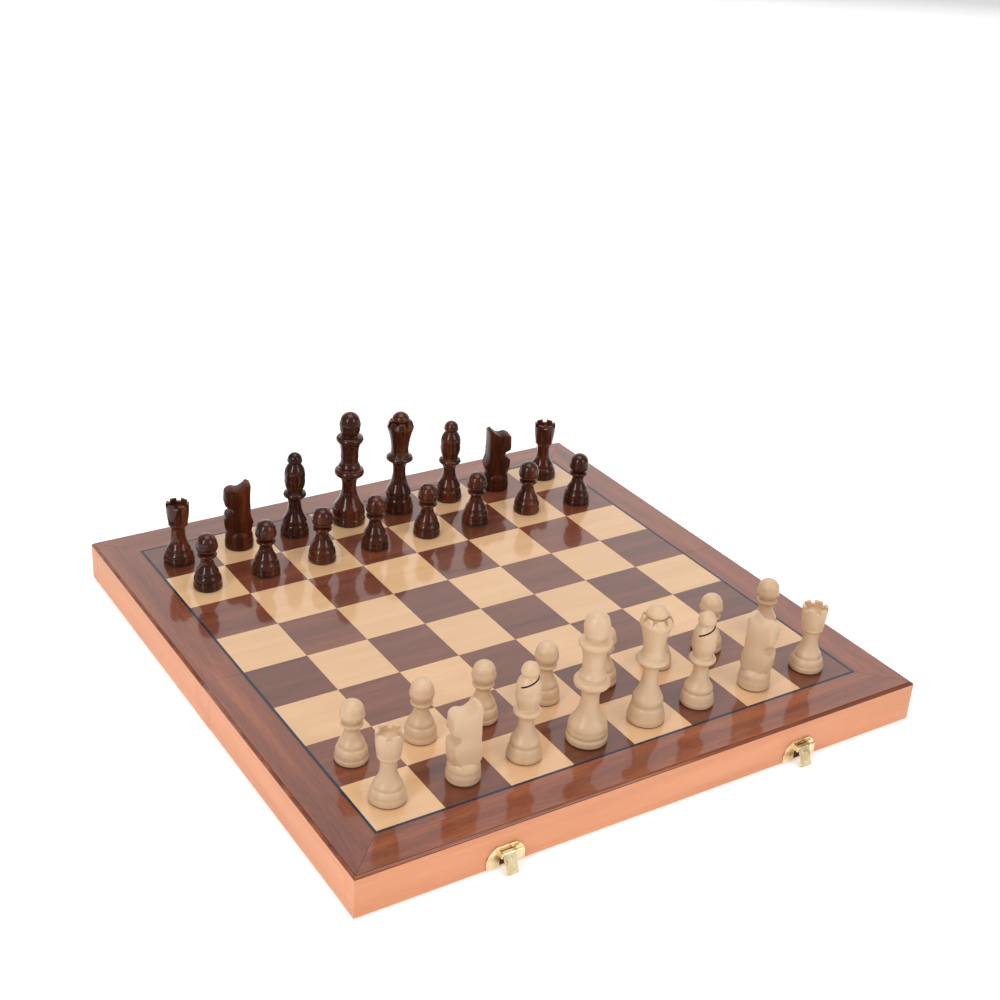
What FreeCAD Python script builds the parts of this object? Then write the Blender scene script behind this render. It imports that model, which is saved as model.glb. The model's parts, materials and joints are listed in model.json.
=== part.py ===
import FreeCAD, Part
import os
import math
import Sketcher

# Folding chess board that is also the carrying case of its men, unfolded flat with the men set up.
# Millimetres. X runs along the fold, Y from the latch edge to the far edge, Z up. The origin is the
# middle of the fold line in the plane of the rims, so the playing face is at Z = rail + panel + veneer.

doc = FreeCAD.newDocument("chess_set")
sheet = doc.addObject("Spreadsheet::Sheet", "Sheet")

DIMS = {
    "board_side": 381.0,
    "square_side": 41.0,
    "line_width": 1.6,
    "rail_width": 10.0,
    "rail_depth": 21.0,
    "panel_depth": 4.5,
    "veneer_depth": 0.5,
    "edge_round": 1.5,
    "fold_gap": 0.05,
    "veneer_gap": 0.03,
    "foam_setback": 4.0,
    "foam_slack": 0.8,
    "wall_slack": 0.1,
    "spare_clearance": 0.25,
    "pawn_pitch": 42.0,
    "officer_pitch": 38.0,
    "felt_depth": 0.6,
    "king_height": 82.5,
    "king_base": 23.6,
    "queen_height": 75.0,
    "queen_base": 21.8,
    "bishop_height": 60.5,
    "bishop_base": 19.8,
    "knight_height": 47.0,
    "knight_base": 19.3,
    "rook_height": 42.5,
    "rook_base": 20.6,
    "pawn_height": 37.8,
    "pawn_base": 18.9,
    "hinge_offset": 117.0,
    "hinge_length": 26.0,
    "hinge_drop": 0.05,
    "leaf_reach": 9.0,
    "leaf_depth": 0.8,
    "knuckle_radius": 1.3,
    "knuckle_gap": 0.1,
    "hinge_pin_radius": 0.6,
    "hinge_screw_spread": 7.8,
    "hinge_screw_line": 5.4,
    "knuckle_clearance": 0.35,
    "mortise_slack": 0.2,
    "running_gap": 0.05,
    "latch_offset": 101.5,
    "plate_width": 24.0,
    "plate_height": 13.3,
    "plate_bottom": 0.2,
    "plate_depth": 0.8,
    "plate_ear": 9.3,
    "plate_ear_height": 4.7,
    "latch_pin_height": 9.5,
    "latch_pin_reach": 2.0,
    "latch_pin_radius": 0.7,
    "flap_width": 7.5,
    "flap_length": 11.4,
    "flap_depth": 0.9,
    "flap_barrel": 1.6,
    "flap_swing": 22.3,
    "cheek_width": 1.0,
    "cheek_gap": 0.2,
    "cheek_reach": 1.5,
    "lip_reach": 1.5,
    "lip_depth": 0.6,
    "nib_reach": 2.3,
    "nib_depth": 0.8,
    "nib_bottom": 0.3,
    "nib_width": 4.5,
    "catch_width": 22.0,
    "catch_height": 9.0,
    "catch_ear": 8.2,
    "screw_radius": 0.9,
    "screw_head_radius": 1.9,
    "screw_length": 7.0,
    "screw_head_depth": 0.8,
}
for row, (name, value) in enumerate(DIMS.items(), start=1):
    sheet.set(f"A{row}", name)
    sheet.set(f"B{row}", str(value))
    sheet.setAlias(f"B{row}", name)
doc.recompute()

SUBPARTS = []


def cell(name):
    return f"Sheet.{name}"


def as_subpart(piece, label):
    """Name a finished piece after the file it is written to."""
    piece.Label = label
    SUBPARTS.append(piece)
    return piece


def set_rules(piece, rules):
    for prop, rule in rules.items():
        piece.setExpression(prop, rule)
    return piece


def place(piece, x="0", y="0", z="0"):
    return set_rules(piece, {"Placement.Base.x": x, "Placement.Base.y": y, "Placement.Base.z": z})


def box(name, size, corner):
    piece = doc.addObject("Part::Box", name)
    set_rules(piece, dict(zip(("Length", "Width", "Height"), size)))
    return place(piece, *corner)


def turn(piece, axis, degrees):
    piece.Placement.Rotation = FreeCAD.Rotation(axis, degrees)
    return piece


ALONG_X = (FreeCAD.Vector(0, 1, 0), 90)
UPWARDS = (FreeCAD.Vector(1, 0, 0), 0)
TOWARDS_FAR = (FreeCAD.Vector(1, 0, 0), -90)
TOWARDS_NEAR = (FreeCAD.Vector(1, 0, 0), 90)
OVERSHOOT = 1.0


def rod(name, radius, length, centre, pose):
    """Cylinder that starts at centre and runs along the turned Z axis."""
    piece = doc.addObject("Part::Cylinder", name)
    set_rules(piece, {"Radius": radius, "Height": length})
    turn(piece, *pose)
    return place(piece, *centre)


def group(name, pieces):
    piece = doc.addObject("Part::Compound", name)
    piece.Links = pieces
    return piece


def fuse(name, pieces):
    piece = doc.addObject("Part::MultiFuse", name)
    piece.Shapes = pieces
    return piece


def cut(name, base, tool):
    piece = doc.addObject("Part::Cut", name)
    piece.Base = base
    piece.Tool = tool
    return piece


def origin_part(body, role):
    return next(part for part in body.Origin.OriginFeatures if part.Role == role)


def new_sketch(body, name, role):
    sketch = body.newObject("Sketcher::SketchObject", name)
    sketch.AttachmentSupport = [(origin_part(body, role), "")]
    sketch.MapMode = "FlatFace"
    return sketch


DOME = "dome"


def edge_between(start, end, bow):
    """Straight edge, or an arc whose rise is bow times its chord, to the right of the way it runs.

    A dome is an arc about a centre on the axis, so that it spins to part of a ball.
    """
    first = FreeCAD.Vector(start[0], start[1], 0)
    last = FreeCAD.Vector(end[0], end[1], 0)
    if not bow:
        return Part.LineSegment(first, last), 1, 2
    if bow == DOME:
        rise = last.y - first.y
        radius = (first.x ** 2 + rise ** 2) / (2 * rise)
        ball = Part.Circle(FreeCAD.Vector(0, last.y - radius, 0), FreeCAD.Vector(0, 0, 1), radius)
        return Part.ArcOfCircle(ball, math.atan2(radius - rise, first.x), math.pi / 2), 1, 2
    chord = last - first
    right = FreeCAD.Vector(chord.y, -chord.x, 0).normalize()
    radius = chord.Length * (1 + 4 * bow * bow) / (8 * abs(bow))
    turn_way = 1 if bow > 0 else -1
    centre = (first + last) * 0.5 - right * turn_way * (radius - abs(bow) * chord.Length)
    low, high = (first, last) if bow > 0 else (last, first)
    angles = [math.atan2(point.y - centre.y, point.x - centre.x) for point in (low, high)]
    circle = Part.Circle(centre, FreeCAD.Vector(0, 0, 1), radius)
    arc = Part.ArcOfCircle(circle, angles[0], angles[1])
    return (arc, 1, 2) if bow > 0 else (arc, 2, 1)


def draw_outline(sketch, corners, scale="board_side"):
    """Closed outline. Each corner is (x, x rule, y, y rule, bow of the edge that arrives there).

    The radius of an arc is tied to the sheet's cell named scale.
    """
    ends = []
    links = []
    rules = []
    for index, corner in enumerate(corners):
        before = corners[index - 1]
        shape, head, tail = edge_between((before[0], before[2]), (corner[0], corner[2]), corner[4])
        ends.append((sketch.addGeometry(shape), head, tail))
        if corner[4] == DOME:
            links.append(Sketcher.Constraint("PointOnObject", ends[-1][0], 3, -2))
            rules.append(None)
        elif corner[4]:
            links.append(Sketcher.Constraint("Radius", ends[-1][0], shape.Radius))
            rules.append(f"{cell(scale)} * {shape.Radius / DIMS[scale]:.5f}")
    for index, corner in enumerate(corners):
        edge, _, tail = ends[index]
        for kind, value, rule in (("DistanceX", corner[0], corner[1]), ("DistanceY", corner[2], corner[3])):
            links.append(Sketcher.Constraint(kind, -1, 1, edge, tail, value))
            rules.append(rule)
    for index, (edge, _, tail) in enumerate(ends):
        following, head, _ = ends[(index + 1) % len(ends)]
        links.append(Sketcher.Constraint("Coincident", edge, tail, following, head))
    sketch.addConstraint(links)
    for number, rule in enumerate(rules):
        if rule:
            sketch.setExpression(f"Constraints[{number}]", rule)
    return sketch


def shares(kind, rows):
    """Corners given as shares of a man's base radius and height."""
    radius = DIMS[f"{kind}_base"] / 2
    height = DIMS[f"{kind}_height"]
    wide = f"{cell(kind + '_base')} / 2"
    tall = cell(f"{kind}_height")
    return [(radius * across, f"{wide} * {across}", height * up, f"{tall} * {up}", bow)
            for across, up, bow in rows]


# Half outlines of the turned men: (share of base radius, share of height, bow of the arriving edge).
FOOT = [(0.97, 0.0, 0), (1.0, 0.02, 0.12), (0.98, 0.05, 0.1)]
SHORT_FOOT = [(0.97, 0.0, 0), (1.0, 0.035, 0.12), (0.96, 0.085, 0.1)]
TURNED = {
    "king": FOOT + [
        (0.94, 0.058, 0), (0.95, 0.1, 0.1), (0.85, 0.16, 0.08), (0.44, 0.375, -0.1), (0.83, 0.44, -0.1),
        (0.78, 0.49, 0.2), (0.62, 0.5, -0.1), (0.58, 0.535, 0.2), (0.54, 0.6, -0.08), (0.57, 0.69, -0.04),
        (0.76, 0.745, -0.06), (0.68, 0.79, 0.25), (0.46, 0.805, -0.1), (0.6, 0.87, 0.12), (0.58, 0.925, 0.1),
        (0.0, 1.0, DOME)],
    "queen": FOOT + [
        (0.86, 0.125, 0.02), (0.8, 0.152, -0.1), (0.75, 0.22, 0.1), (0.43, 0.46, -0.08), (0.86, 0.525, -0.1),
        (0.72, 0.565, 0.2), (0.62, 0.58, -0.1), (0.58, 0.66, -0.06), (0.83, 0.83, -0.03), (0.8, 0.88, 0.15),
        (0.66, 0.915, 0.15), (0.47, 0.9, 0), (0.55, 0.945, 0.12), (0.0, 1.0, DOME)],
    "bishop": FOOT + [
        (0.88, 0.125, 0.03), (0.83, 0.15, -0.1), (0.78, 0.2, 0.12), (0.44, 0.4, -0.08), (0.78, 0.475, -0.1),
        (0.68, 0.52, 0.2), (0.56, 0.53, -0.1), (0.58, 0.56, 0), (0.71, 0.7, 0.08), (0.38, 0.875, 0.12),
        (0.5, 0.925, 0.25), (0.0, 1.0, DOME)],
    "rook": SHORT_FOOT + [
        (0.83, 0.185, 0.08), (0.78, 0.2, -0.1), (0.72, 0.26, 0.08), (0.45, 0.49, -0.08), (0.45, 0.56, 0),
        (0.61, 0.63, -0.12), (0.61, 0.65, 0.2), (0.74, 0.985, 0.03), (0.7, 1.0, 0.2), (0.56, 1.0, 0),
        (0.52, 0.89, 0), (0.0, 0.88, 0)],
    "pawn": SHORT_FOOT + [
        (0.84, 0.235, 0.06), (0.79, 0.26, -0.1), (0.72, 0.32, 0.08), (0.45, 0.5, -0.06), (0.61, 0.575, -0.1),
        (0.58, 0.625, 0.3), (0.48, 0.64, -0.1), (0.7, 0.81, 0.18), (0.0, 1.0, DOME)],
    "knight": [
        (0.97, 0.0, 0), (1.0, 0.04, 0.12), (0.96, 0.13, 0.06), (0.74, 0.26, 0.12), (0.0, 0.26, 0)],
}
# Side view of the carved horse: the muzzle points along +X and the throat is an arc.
HORSE = [
    (-0.66, 0.2, 0), (0.66, 0.2, 0), (1.02, 0.38, 0.16), (0.95, 0.49, 0.12), (0.62, 0.52, 0),
    (0.7, 0.665, -0.45), (0.98, 0.715, 0), (1.04, 0.86, 0.05), (0.82, 0.92, 0.16), (0.3, 0.915, 0),
    (-0.02, 0.885, -0.08), (-0.5, 0.99, -0.06), (-0.78, 0.985, 0.2), (-0.74, 0.64, -0.02),
    (-0.98, 0.4, -0.08)]
HORSE_THICKNESS = 0.66
# Turned blank that the horse is carved from, and its rounded ends.
BLANK = [(0.66, 0.2, 0), (1.04, 0.36, 0.14), (1.0, 0.95, 0.02), (0.6, 1.0, 0.1), (0.0, 1.0, 0)]


def turned_body(name, kind, rows):
    """Revolve a half outline, closed along the axis, about Z."""
    body = doc.addObject("PartDesign::Body", name)
    sketch = new_sketch(body, f"{name}_outline", "XZ_Plane")
    draw_outline(sketch, shares(kind, [(0.0, rows[0][1], 0)] + rows), f"{kind}_height")
    spun = body.newObject("PartDesign::Revolution", f"{name}_spun")
    spun.Profile = sketch
    spun.ReferenceAxis = (sketch, ["V_Axis"])
    spun.Angle = 360
    return body


def cut_pattern(body, name, kind, rows, width, count):
    """Cut a slot that stands across the XZ plane, then repeat it about the axis."""
    sketch = new_sketch(body, f"{name}_slot_outline", "XZ_Plane")
    draw_outline(sketch, shares(kind, rows))
    slot = body.newObject("PartDesign::Pocket", f"{name}_slot")
    slot.Profile = sketch
    slot.Midplane = True
    set_rules(slot, {"Length": f"{cell(kind + '_base')} * {width}"})
    if count > 1:
        ring = body.newObject("PartDesign::PolarPattern", f"{name}_slots")
        ring.Originals = [slot]
        ring.Axis = (origin_part(body, "Z_Axis"), [""])
        ring.Angle = 360
        ring.Occurrences = count
        body.Tip = ring


def carved_horse(name):
    """Slab with the side view of the horse, cut down to the round blank, on its turned foot."""
    slab = doc.addObject("PartDesign::Body", f"{name}_slab")
    sketch = new_sketch(slab, f"{name}_side_view", "XZ_Plane")
    draw_outline(sketch, shares("knight", HORSE), "knight_height")
    pad = slab.newObject("PartDesign::Pad", f"{name}_thickness")
    pad.Profile = sketch
    pad.Midplane = True
    set_rules(pad, {"Length": f"{cell('knight_base')} * {HORSE_THICKNESS}"})
    blank = turned_body(f"{name}_blank", "knight", BLANK)
    carved = doc.addObject("Part::MultiCommon", f"{name}_carved")
    carved.Shapes = [slab, blank]
    return fuse(f"{name}_wood", [turned_body(f"{name}_foot", "knight", TURNED["knight"]), carved])


# Cuts in the turned men: outline across the axis, width as a share of the base, how many round the axis.
CUTS = {
    "rook": ([(0.4, 0.94, 0), (0.9, 0.94, 0), (0.9, 1.05, 0), (0.4, 1.05, 0)], 0.13, 6),
    "queen": ([(0.58, 0.89, 0), (1.0, 0.835, 0), (1.0, 0.95, 0), (0.58, 0.95, 0)], 0.12, 8),
    "bishop": ([(-0.3, 0.796, 0), (0.95, 0.893, 0), (0.95, 0.909, 0), (-0.3, 0.812, 0)], 2, 1),
}


def wood_of(name, kind):
    if kind == "knight":
        return carved_horse(name)
    body = turned_body(f"{name}_wood", kind, TURNED[kind])
    if kind in CUTS:
        cut_pattern(body, name, kind, *CUTS[kind])
    return body


PLAYING_FACE = f"{cell('rail_depth')} + {cell('panel_depth')} + {cell('veneer_depth')}"


def man(label, kind):
    """One man at the origin: the turned or carved wood on its felt disc."""
    wood = wood_of(label, kind)
    place(wood, z=cell("felt_depth"))
    felt = rod(f"{label}_felt", f"{cell(kind + '_base')} * 0.47", cell("felt_depth"), ("0", "0", "0"),
               (FreeCAD.Vector(0, 0, 1), 0))
    return as_subpart(group(f"{label}_man", [felt, wood]), label)


def stand_on_square(piece, file, rank, nudge, heading):
    """Stand a man on a square: file and rank count from 0, nudge is how far it is off the middle."""
    turn(piece, FreeCAD.Vector(0, 0, 1), heading)
    place(piece,
          f"({file} - 3.5) * {cell('square_side')} + {nudge[0]}",
          f"({rank} - 3.5) * {cell('square_side')} + {nudge[1]}",
          PLAYING_FACE)


FILES = "abcdefgh"
BACK_RANK = ("rook", "knight", "bishop", "king", "queen", "bishop", "knight", "rook")
# How far men stand from the middle of their square, and which way the ones with a front look.
NUDGES = {
    "white_rook_a": (-2.6, 0.5), "white_knight_b": (1.1, -2.2), "white_bishop_c": (0, -1.1),
    "white_king": (-0.9, -3.6), "white_queen": (0, -3.0), "white_bishop_f": (-3.5, -3.0),
    "white_knight_g": (-2.0, -3.8), "white_rook_h": (-1.0, -3.5),
    "white_pawn_a": (-3.5, -1.1), "white_pawn_b": (-1.0, -0.5), "white_pawn_c": (-1.9, -0.5),
    "white_pawn_e": (-0.6, -0.6), "white_pawn_g": (-1.7, 0.2), "white_pawn_h": (1.8, -1.1),
    "dark_rook_a": (-3.6, -1.5), "dark_knight_b": (-0.7, 0.5), "dark_bishop_c": (-0.4, 0.3),
    "dark_queen": (-1.0, 0.7), "dark_bishop_f": (-0.6, 0.4), "dark_knight_g": (-1.2, 0.8),
    "dark_rook_h": (-0.1, 1.8), "dark_pawn_d": (-0.8, 0.5), "dark_pawn_e": (-1.0, 0.7),
    "dark_pawn_f": (-2.1, 1.4), "dark_pawn_g": (-0.5, 0.3), "dark_pawn_h": (-1.0, -4.2),
}
HEADINGS = {
    "white_knight_b": 170, "white_knight_g": -60, "dark_knight_b": 165, "dark_knight_g": -15,
    "white_bishop_c": -34, "white_bishop_f": -34, "dark_bishop_c": 60, "dark_bishop_f": 60,
}
PAIRED = ("rook", "knight", "bishop")


def set_up_side(colour, back_rank, pawn_rank):
    for file, kind in enumerate(BACK_RANK):
        label = f"{colour}_{kind}_{FILES[file]}" if kind in PAIRED else f"{colour}_{kind}"
        stand_on_square(man(label, kind), file, back_rank, NUDGES.get(label, (0, 0)), HEADINGS.get(label, 0))
    for file in range(8):
        label = f"{colour}_pawn_{FILES[file]}"
        stand_on_square(man(label, "pawn"), file, pawn_rank, NUDGES.get(label, (0, 0)), 0)


set_up_side("white", 0, 1)
set_up_side("dark", 7, 6)

HALF = f"{cell('board_side')} / 2"
FIELD = f"4 * {cell('square_side')}"
RAIL = cell("rail_width")
GAP = cell("fold_gap")
PANEL_TOP = f"{cell('rail_depth')} + {cell('panel_depth')}"
INNER = f"({HALF} - {RAIL})"


def mirrored(side, near_edge, width):
    """Low Y corner of a piece that starts near_edge away from the fold on either side of it."""
    return near_edge if side == "far" else f"-({near_edge}) - ({width})"


# Where the men lie in the foam, counted from the +X end: officers in pairs, then queens and the king.
OFFICER_SLOTS = (("rook", 0, 2), ("knight", 2, 2), ("bishop", 4, 2), ("queen", 6, 2), ("king", 8, 1))
QUEEN_SPARE_SLOT = 6
BASE_LINE = {"near": {"officer": -172.0, "pawn": -66.0}, "far": {"officer": 22.0, "pawn": 128.0}}
# Half width of each cut-out at the foot, the neck and the body, as shares of the base radius.
CUTOUT_WIDTHS = {
    "king": (1.0, 0.56, 0.86), "queen": (1.0, 0.6, 0.98), "bishop": (1.0, 0.56, 0.84),
    "knight": (1.0, 0.8, 1.06), "rook": (1.0, 0.7, 0.8), "pawn": (1.0, 0.56, 0.74),
}


def cutout_corners(kind, x, y):
    """Outline of a man on his side with his foot at y and his head towards +Y, with slack all round."""
    radius = DIMS[f"{kind}_base"] / 2
    height = DIMS[f"{kind}_height"]
    slack = DIMS["foam_slack"]
    foot, neck, body = CUTOUT_WIDTHS[kind]
    half = [(foot, 0.0, -1), (foot, 0.16, 0), (neck, 0.36, 0), (body, 0.44, 0), (body, 0.9, 0), (0.4, 1.0, 1)]
    rows = [(1, row) for row in half] + [(-1, row) for row in reversed(half)]
    corners = []
    for sign, (across, up, push) in rows:
        reach = sign * (radius * across + slack)
        rise = y + height * up + push * slack
        corners.append((
            x + reach,
            f"{x} + {sign} * ({cell(kind + '_base')} / 2 * {across} + {cell('foam_slack')})",
            rise,
            f"{y} + {cell(kind + '_height')} * {up} + {push} * {cell('foam_slack')}",
            0))
    return corners


def foam_liner(side):
    """Foam slab that fills the tray, set back from the rims, cut right through for each man."""
    label = f"{side}_foam"
    body = doc.addObject("PartDesign::Body", f"{label}_body")
    slab = new_sketch(body, f"{label}_outline", "XY_Plane")
    reach = DIMS["board_side"] / 2 - DIMS["rail_width"] - DIMS["wall_slack"]
    fold = DIMS["fold_gap"] + DIMS["rail_width"] + DIMS["wall_slack"]
    sign = 1 if side == "far" else -1
    wall = f"({INNER} - {cell('wall_slack')})"
    fold_wall = f"({GAP} + {RAIL} + {cell('wall_slack')})"
    draw_outline(slab, [
        (-reach, f"-{wall}", sign * fold, f"{sign} * {fold_wall}", 0),
        (reach, wall, sign * fold, f"{sign} * {fold_wall}", 0),
        (reach, wall, sign * reach, f"{sign} * {wall}", 0),
        (-reach, f"-{wall}", sign * reach, f"{sign} * {wall}", 0)])
    pad = body.newObject("PartDesign::Pad", f"{label}_slab")
    pad.Profile = slab
    set_rules(pad, {"Length": f"{cell('rail_depth')} - {cell('foam_setback')}"})
    doc.recompute()
    lines = BASE_LINE[side]
    rows = [slot + (lines["officer"], "officer_pitch", 4) for slot in OFFICER_SLOTS]
    rows.append(("pawn", 0, 8, lines["pawn"], "pawn_pitch", 3.5))
    for kind, first, count, y, pitch, middle in rows:
        sketch = new_sketch(body, f"{label}_{kind}_outline", "XY_Plane")
        draw_outline(sketch, cutout_corners(kind, (middle - first) * DIMS[pitch], y))
        pocket = body.newObject("PartDesign::Pocket", f"{label}_{kind}_cutout")
        pocket.Profile = sketch
        pocket.Type = "ThroughAll"
        pocket.Reversed = True
        if count > 1:
            repeat = body.newObject("PartDesign::LinearPattern", f"{label}_{kind}_cutouts")
            repeat.Originals = [pocket]
            repeat.Direction = (sketch, ["H_Axis"])
            repeat.Reversed = True
            repeat.Occurrences = count
            set_rules(repeat, {"Length": f"{cell(pitch)} * {count - 1}"})
            body.Tip = repeat
    place(body, z=cell("foam_setback"))
    return as_subpart(body, label)


def screw_hole(name, centre, pose):
    length = f"{cell('screw_length')} + {OVERSHOOT} / 2"
    return rod(name, f"{cell('screw_radius')} + {cell('running_gap')}", length, centre, pose)


def screw(name, centre, pose):
    """Flat-headed wood screw: its head's top at centre, its shank along the turned Z axis."""
    head = doc.addObject("Part::Cone", f"{name}_head")
    set_rules(head, {
        "Radius1": cell("screw_head_radius"), "Radius2": cell("screw_radius"),
        "Height": cell("screw_head_depth")})
    shank = rod(f"{name}_shank", cell("screw_radius"), cell("screw_length"), ("0", "0", "0"),
                (FreeCAD.Vector(0, 0, 1), 0))
    whole = fuse(name, [head, shank])
    turn(whole, *pose)
    return place(whole, *centre)


def countersink(name, centre, pose):
    """Seat of a screw's head, a running gap larger all round."""
    seat = doc.addObject("Part::Cone", name)
    set_rules(seat, {
        "Radius1": f"{cell('screw_head_radius')} + {cell('running_gap')}",
        "Radius2": f"{cell('screw_radius')} + {cell('running_gap')}",
        "Height": cell("screw_head_depth")})
    turn(seat, *pose)
    return place(seat, *centre)


CATCH_MIDDLE = f"({cell('nib_bottom')} + {cell('catch_height')} / 2)"
# Screws in the two long edges: distance from the fitting's middle, the face that they lie in, height, pose.
EDGE_SCREWS = {
    "near": (cell("plate_ear"), f"-{HALF} - {cell('plate_depth')}", cell("plate_ear_height"), TOWARDS_FAR),
    "far": (cell("catch_ear"), f"{HALF} + {cell('plate_depth')}", CATCH_MIDDLE, TOWARDS_NEAR),
}


def edge_seat(side, hand, end):
    """Place and pose of one screw of a latch or catch plate."""
    ear, y, z, pose = EDGE_SCREWS[side]
    return (f"{hand} * {cell('latch_offset')} + {end} * {ear}", y, z), pose


def hinge_seat(side, hand, end):
    """Place and pose of one screw of a hinge leaf."""
    sign = 1 if side == "far" else -1
    return (f"{hand} * {cell('hinge_offset')} + {end} * {cell('hinge_screw_spread')}",
            f"{sign} * {cell('hinge_screw_line')}", "0"), UPWARDS


def screw_seats(side):
    return [seat(side, hand, end) for hand in (-1, 1) for end in (-1, 1) for seat in (edge_seat, hinge_seat)]


def screws(side):
    pieces = [screw(f"{side}_screw_{n}", centre, pose) for n, (centre, pose) in enumerate(screw_seats(side))]
    return as_subpart(group(f"{side}_screw_group", pieces), f"{side}_screws")


AXLE = f"-{cell('hinge_drop')}"


def long_rails(side):
    """Outer rail and fold rail of one half, cut for the hinges and drilled for the screws."""
    length = cell("board_side")
    depth = cell("rail_depth")
    outer = box(f"{side}_outer_rail", (length, RAIL, depth), (f"-{HALF}", mirrored(side, INNER, RAIL), "0"))
    fold = box(f"{side}_fold_rail", (length, RAIL, depth), (f"-{HALF}", mirrored(side, GAP, RAIL), "0"))
    slack = cell("mortise_slack")
    tools = []
    for hand in (-1, 1):
        start = f"{hand} * {cell('hinge_offset')} - {cell('hinge_length')} / 2 - {slack}"
        length = f"{cell('hinge_length')} + 2 * {slack}"
        tools.append(rod(f"{side}_barrel_groove_{hand + 1}", f"{cell('knuckle_radius')} + {slack}", length,
                         (start, "0", AXLE), ALONG_X))
        mortise = f"{cell('leaf_reach')} + {slack}"
        depth_cut = f"{cell('leaf_depth')} + {cell('running_gap')} + {OVERSHOOT}"
        tools.append(box(f"{side}_mortise_{hand + 1}", (length, mortise, depth_cut),
                         (start, mirrored(side, "0", mortise), f"-{OVERSHOOT}")))
    for number, (centre, pose) in enumerate(screw_seats(side)):
        tools.append(screw_hole(f"{side}_pilot_{number}", centre, pose))
    whole = cut(f"{side}_rails_cut", group(f"{side}_rails_blank", [outer, fold]),
                fuse(f"{side}_rails_tools", tools))
    return as_subpart(whole, f"{side}_long_rails")


def side_rails(side):
    length = f"({INNER} - {GAP} - {RAIL})"
    pieces = []
    for hand, start in (("left", f"-{HALF}"), ("right", INNER)):
        pieces.append(box(
            f"{side}_{hand}_rail", (RAIL, length, cell("rail_depth")),
            (start, mirrored(side, f"{GAP} + {RAIL}", length), "0")))
    return as_subpart(group(f"{side}_rail_pair", pieces), f"{side}_side_rails")


def panel(side):
    """Board over the tray, its three outer top edges rounded."""
    label = f"{side}_panel"
    body = doc.addObject("PartDesign::Body", f"{label}_body")
    sketch = new_sketch(body, f"{label}_outline", "XY_Plane")
    reach = DIMS["board_side"] / 2
    sign = 1 if side == "far" else -1
    fold = sign * DIMS["fold_gap"]
    draw_outline(sketch, [
        (-reach, f"-{HALF}", fold, f"{sign} * {GAP}", 0), (reach, HALF, fold, f"{sign} * {GAP}", 0),
        (reach, HALF, sign * reach, f"{sign} * {HALF}", 0),
        (-reach, f"-{HALF}", sign * reach, f"{sign} * {HALF}", 0)])
    pad = body.newObject("PartDesign::Pad", f"{label}_board")
    pad.Profile = sketch
    set_rules(pad, {"Length": cell("panel_depth")})
    doc.recompute()
    top = DIMS["panel_depth"]
    outer = []
    for number, edge in enumerate(pad.Shape.Edges, start=1):
        middle = edge.CenterOfMass
        on_top = abs(middle.z - top) < 0.01
        if on_top and abs(middle.y - fold) > 1:
            outer.append(f"Edge{number}")
    rounded = body.newObject("PartDesign::Fillet", f"{label}_rounding")
    rounded.Base = (pad, outer)
    set_rules(rounded, {"Radius": cell("edge_round")})
    place(body, z=cell("rail_depth"))
    return as_subpart(body, label)


def squares(side, shade):
    """Veneer squares of one shade on one half: the left one of the near rank is light."""
    gap = cell("veneer_gap")
    size = f"{cell('square_side')} - 2 * {gap}"
    ranks = range(4) if side == "near" else range(4, 8)
    pieces = []
    for rank in ranks:
        for file in range(8):
            if ((file + rank) % 2 == 0) == (shade == "light"):
                pieces.append(box(
                    f"{side}_{shade}_{FILES[file]}{rank + 1}", (size, size, cell("veneer_depth")),
                    (f"({file} - 4) * {cell('square_side')} + {gap}",
                     f"({rank} - 4) * {cell('square_side')} + {gap}", PANEL_TOP)))
    return as_subpart(group(f"{side}_{shade}_group", pieces), f"{side}_{shade}_squares")


def stringing(side):
    """Dark line round the field, on the three sides of one half."""
    line = f"{cell('line_width')} - {cell('veneer_gap')}"
    depth = cell("veneer_depth")
    across = f"2 * ({FIELD} + {cell('line_width')} - {cell('veneer_gap')})"
    pieces = [box(f"{side}_cross_line", (across, line, depth), (
        f"-({FIELD}) - ({line})", mirrored(side, FIELD, line), PANEL_TOP))]
    run = f"({FIELD} - {GAP} - {cell('veneer_gap')})"
    for hand, start in (("left", f"-({FIELD}) - ({line})"), ("right", FIELD)):
        corner = (start, mirrored(side, GAP, run), PANEL_TOP)
        pieces.append(box(f"{side}_{hand}_line", (line, run, depth), corner))
    return as_subpart(group(f"{side}_line_group", pieces), f"{side}_stringing")


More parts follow.
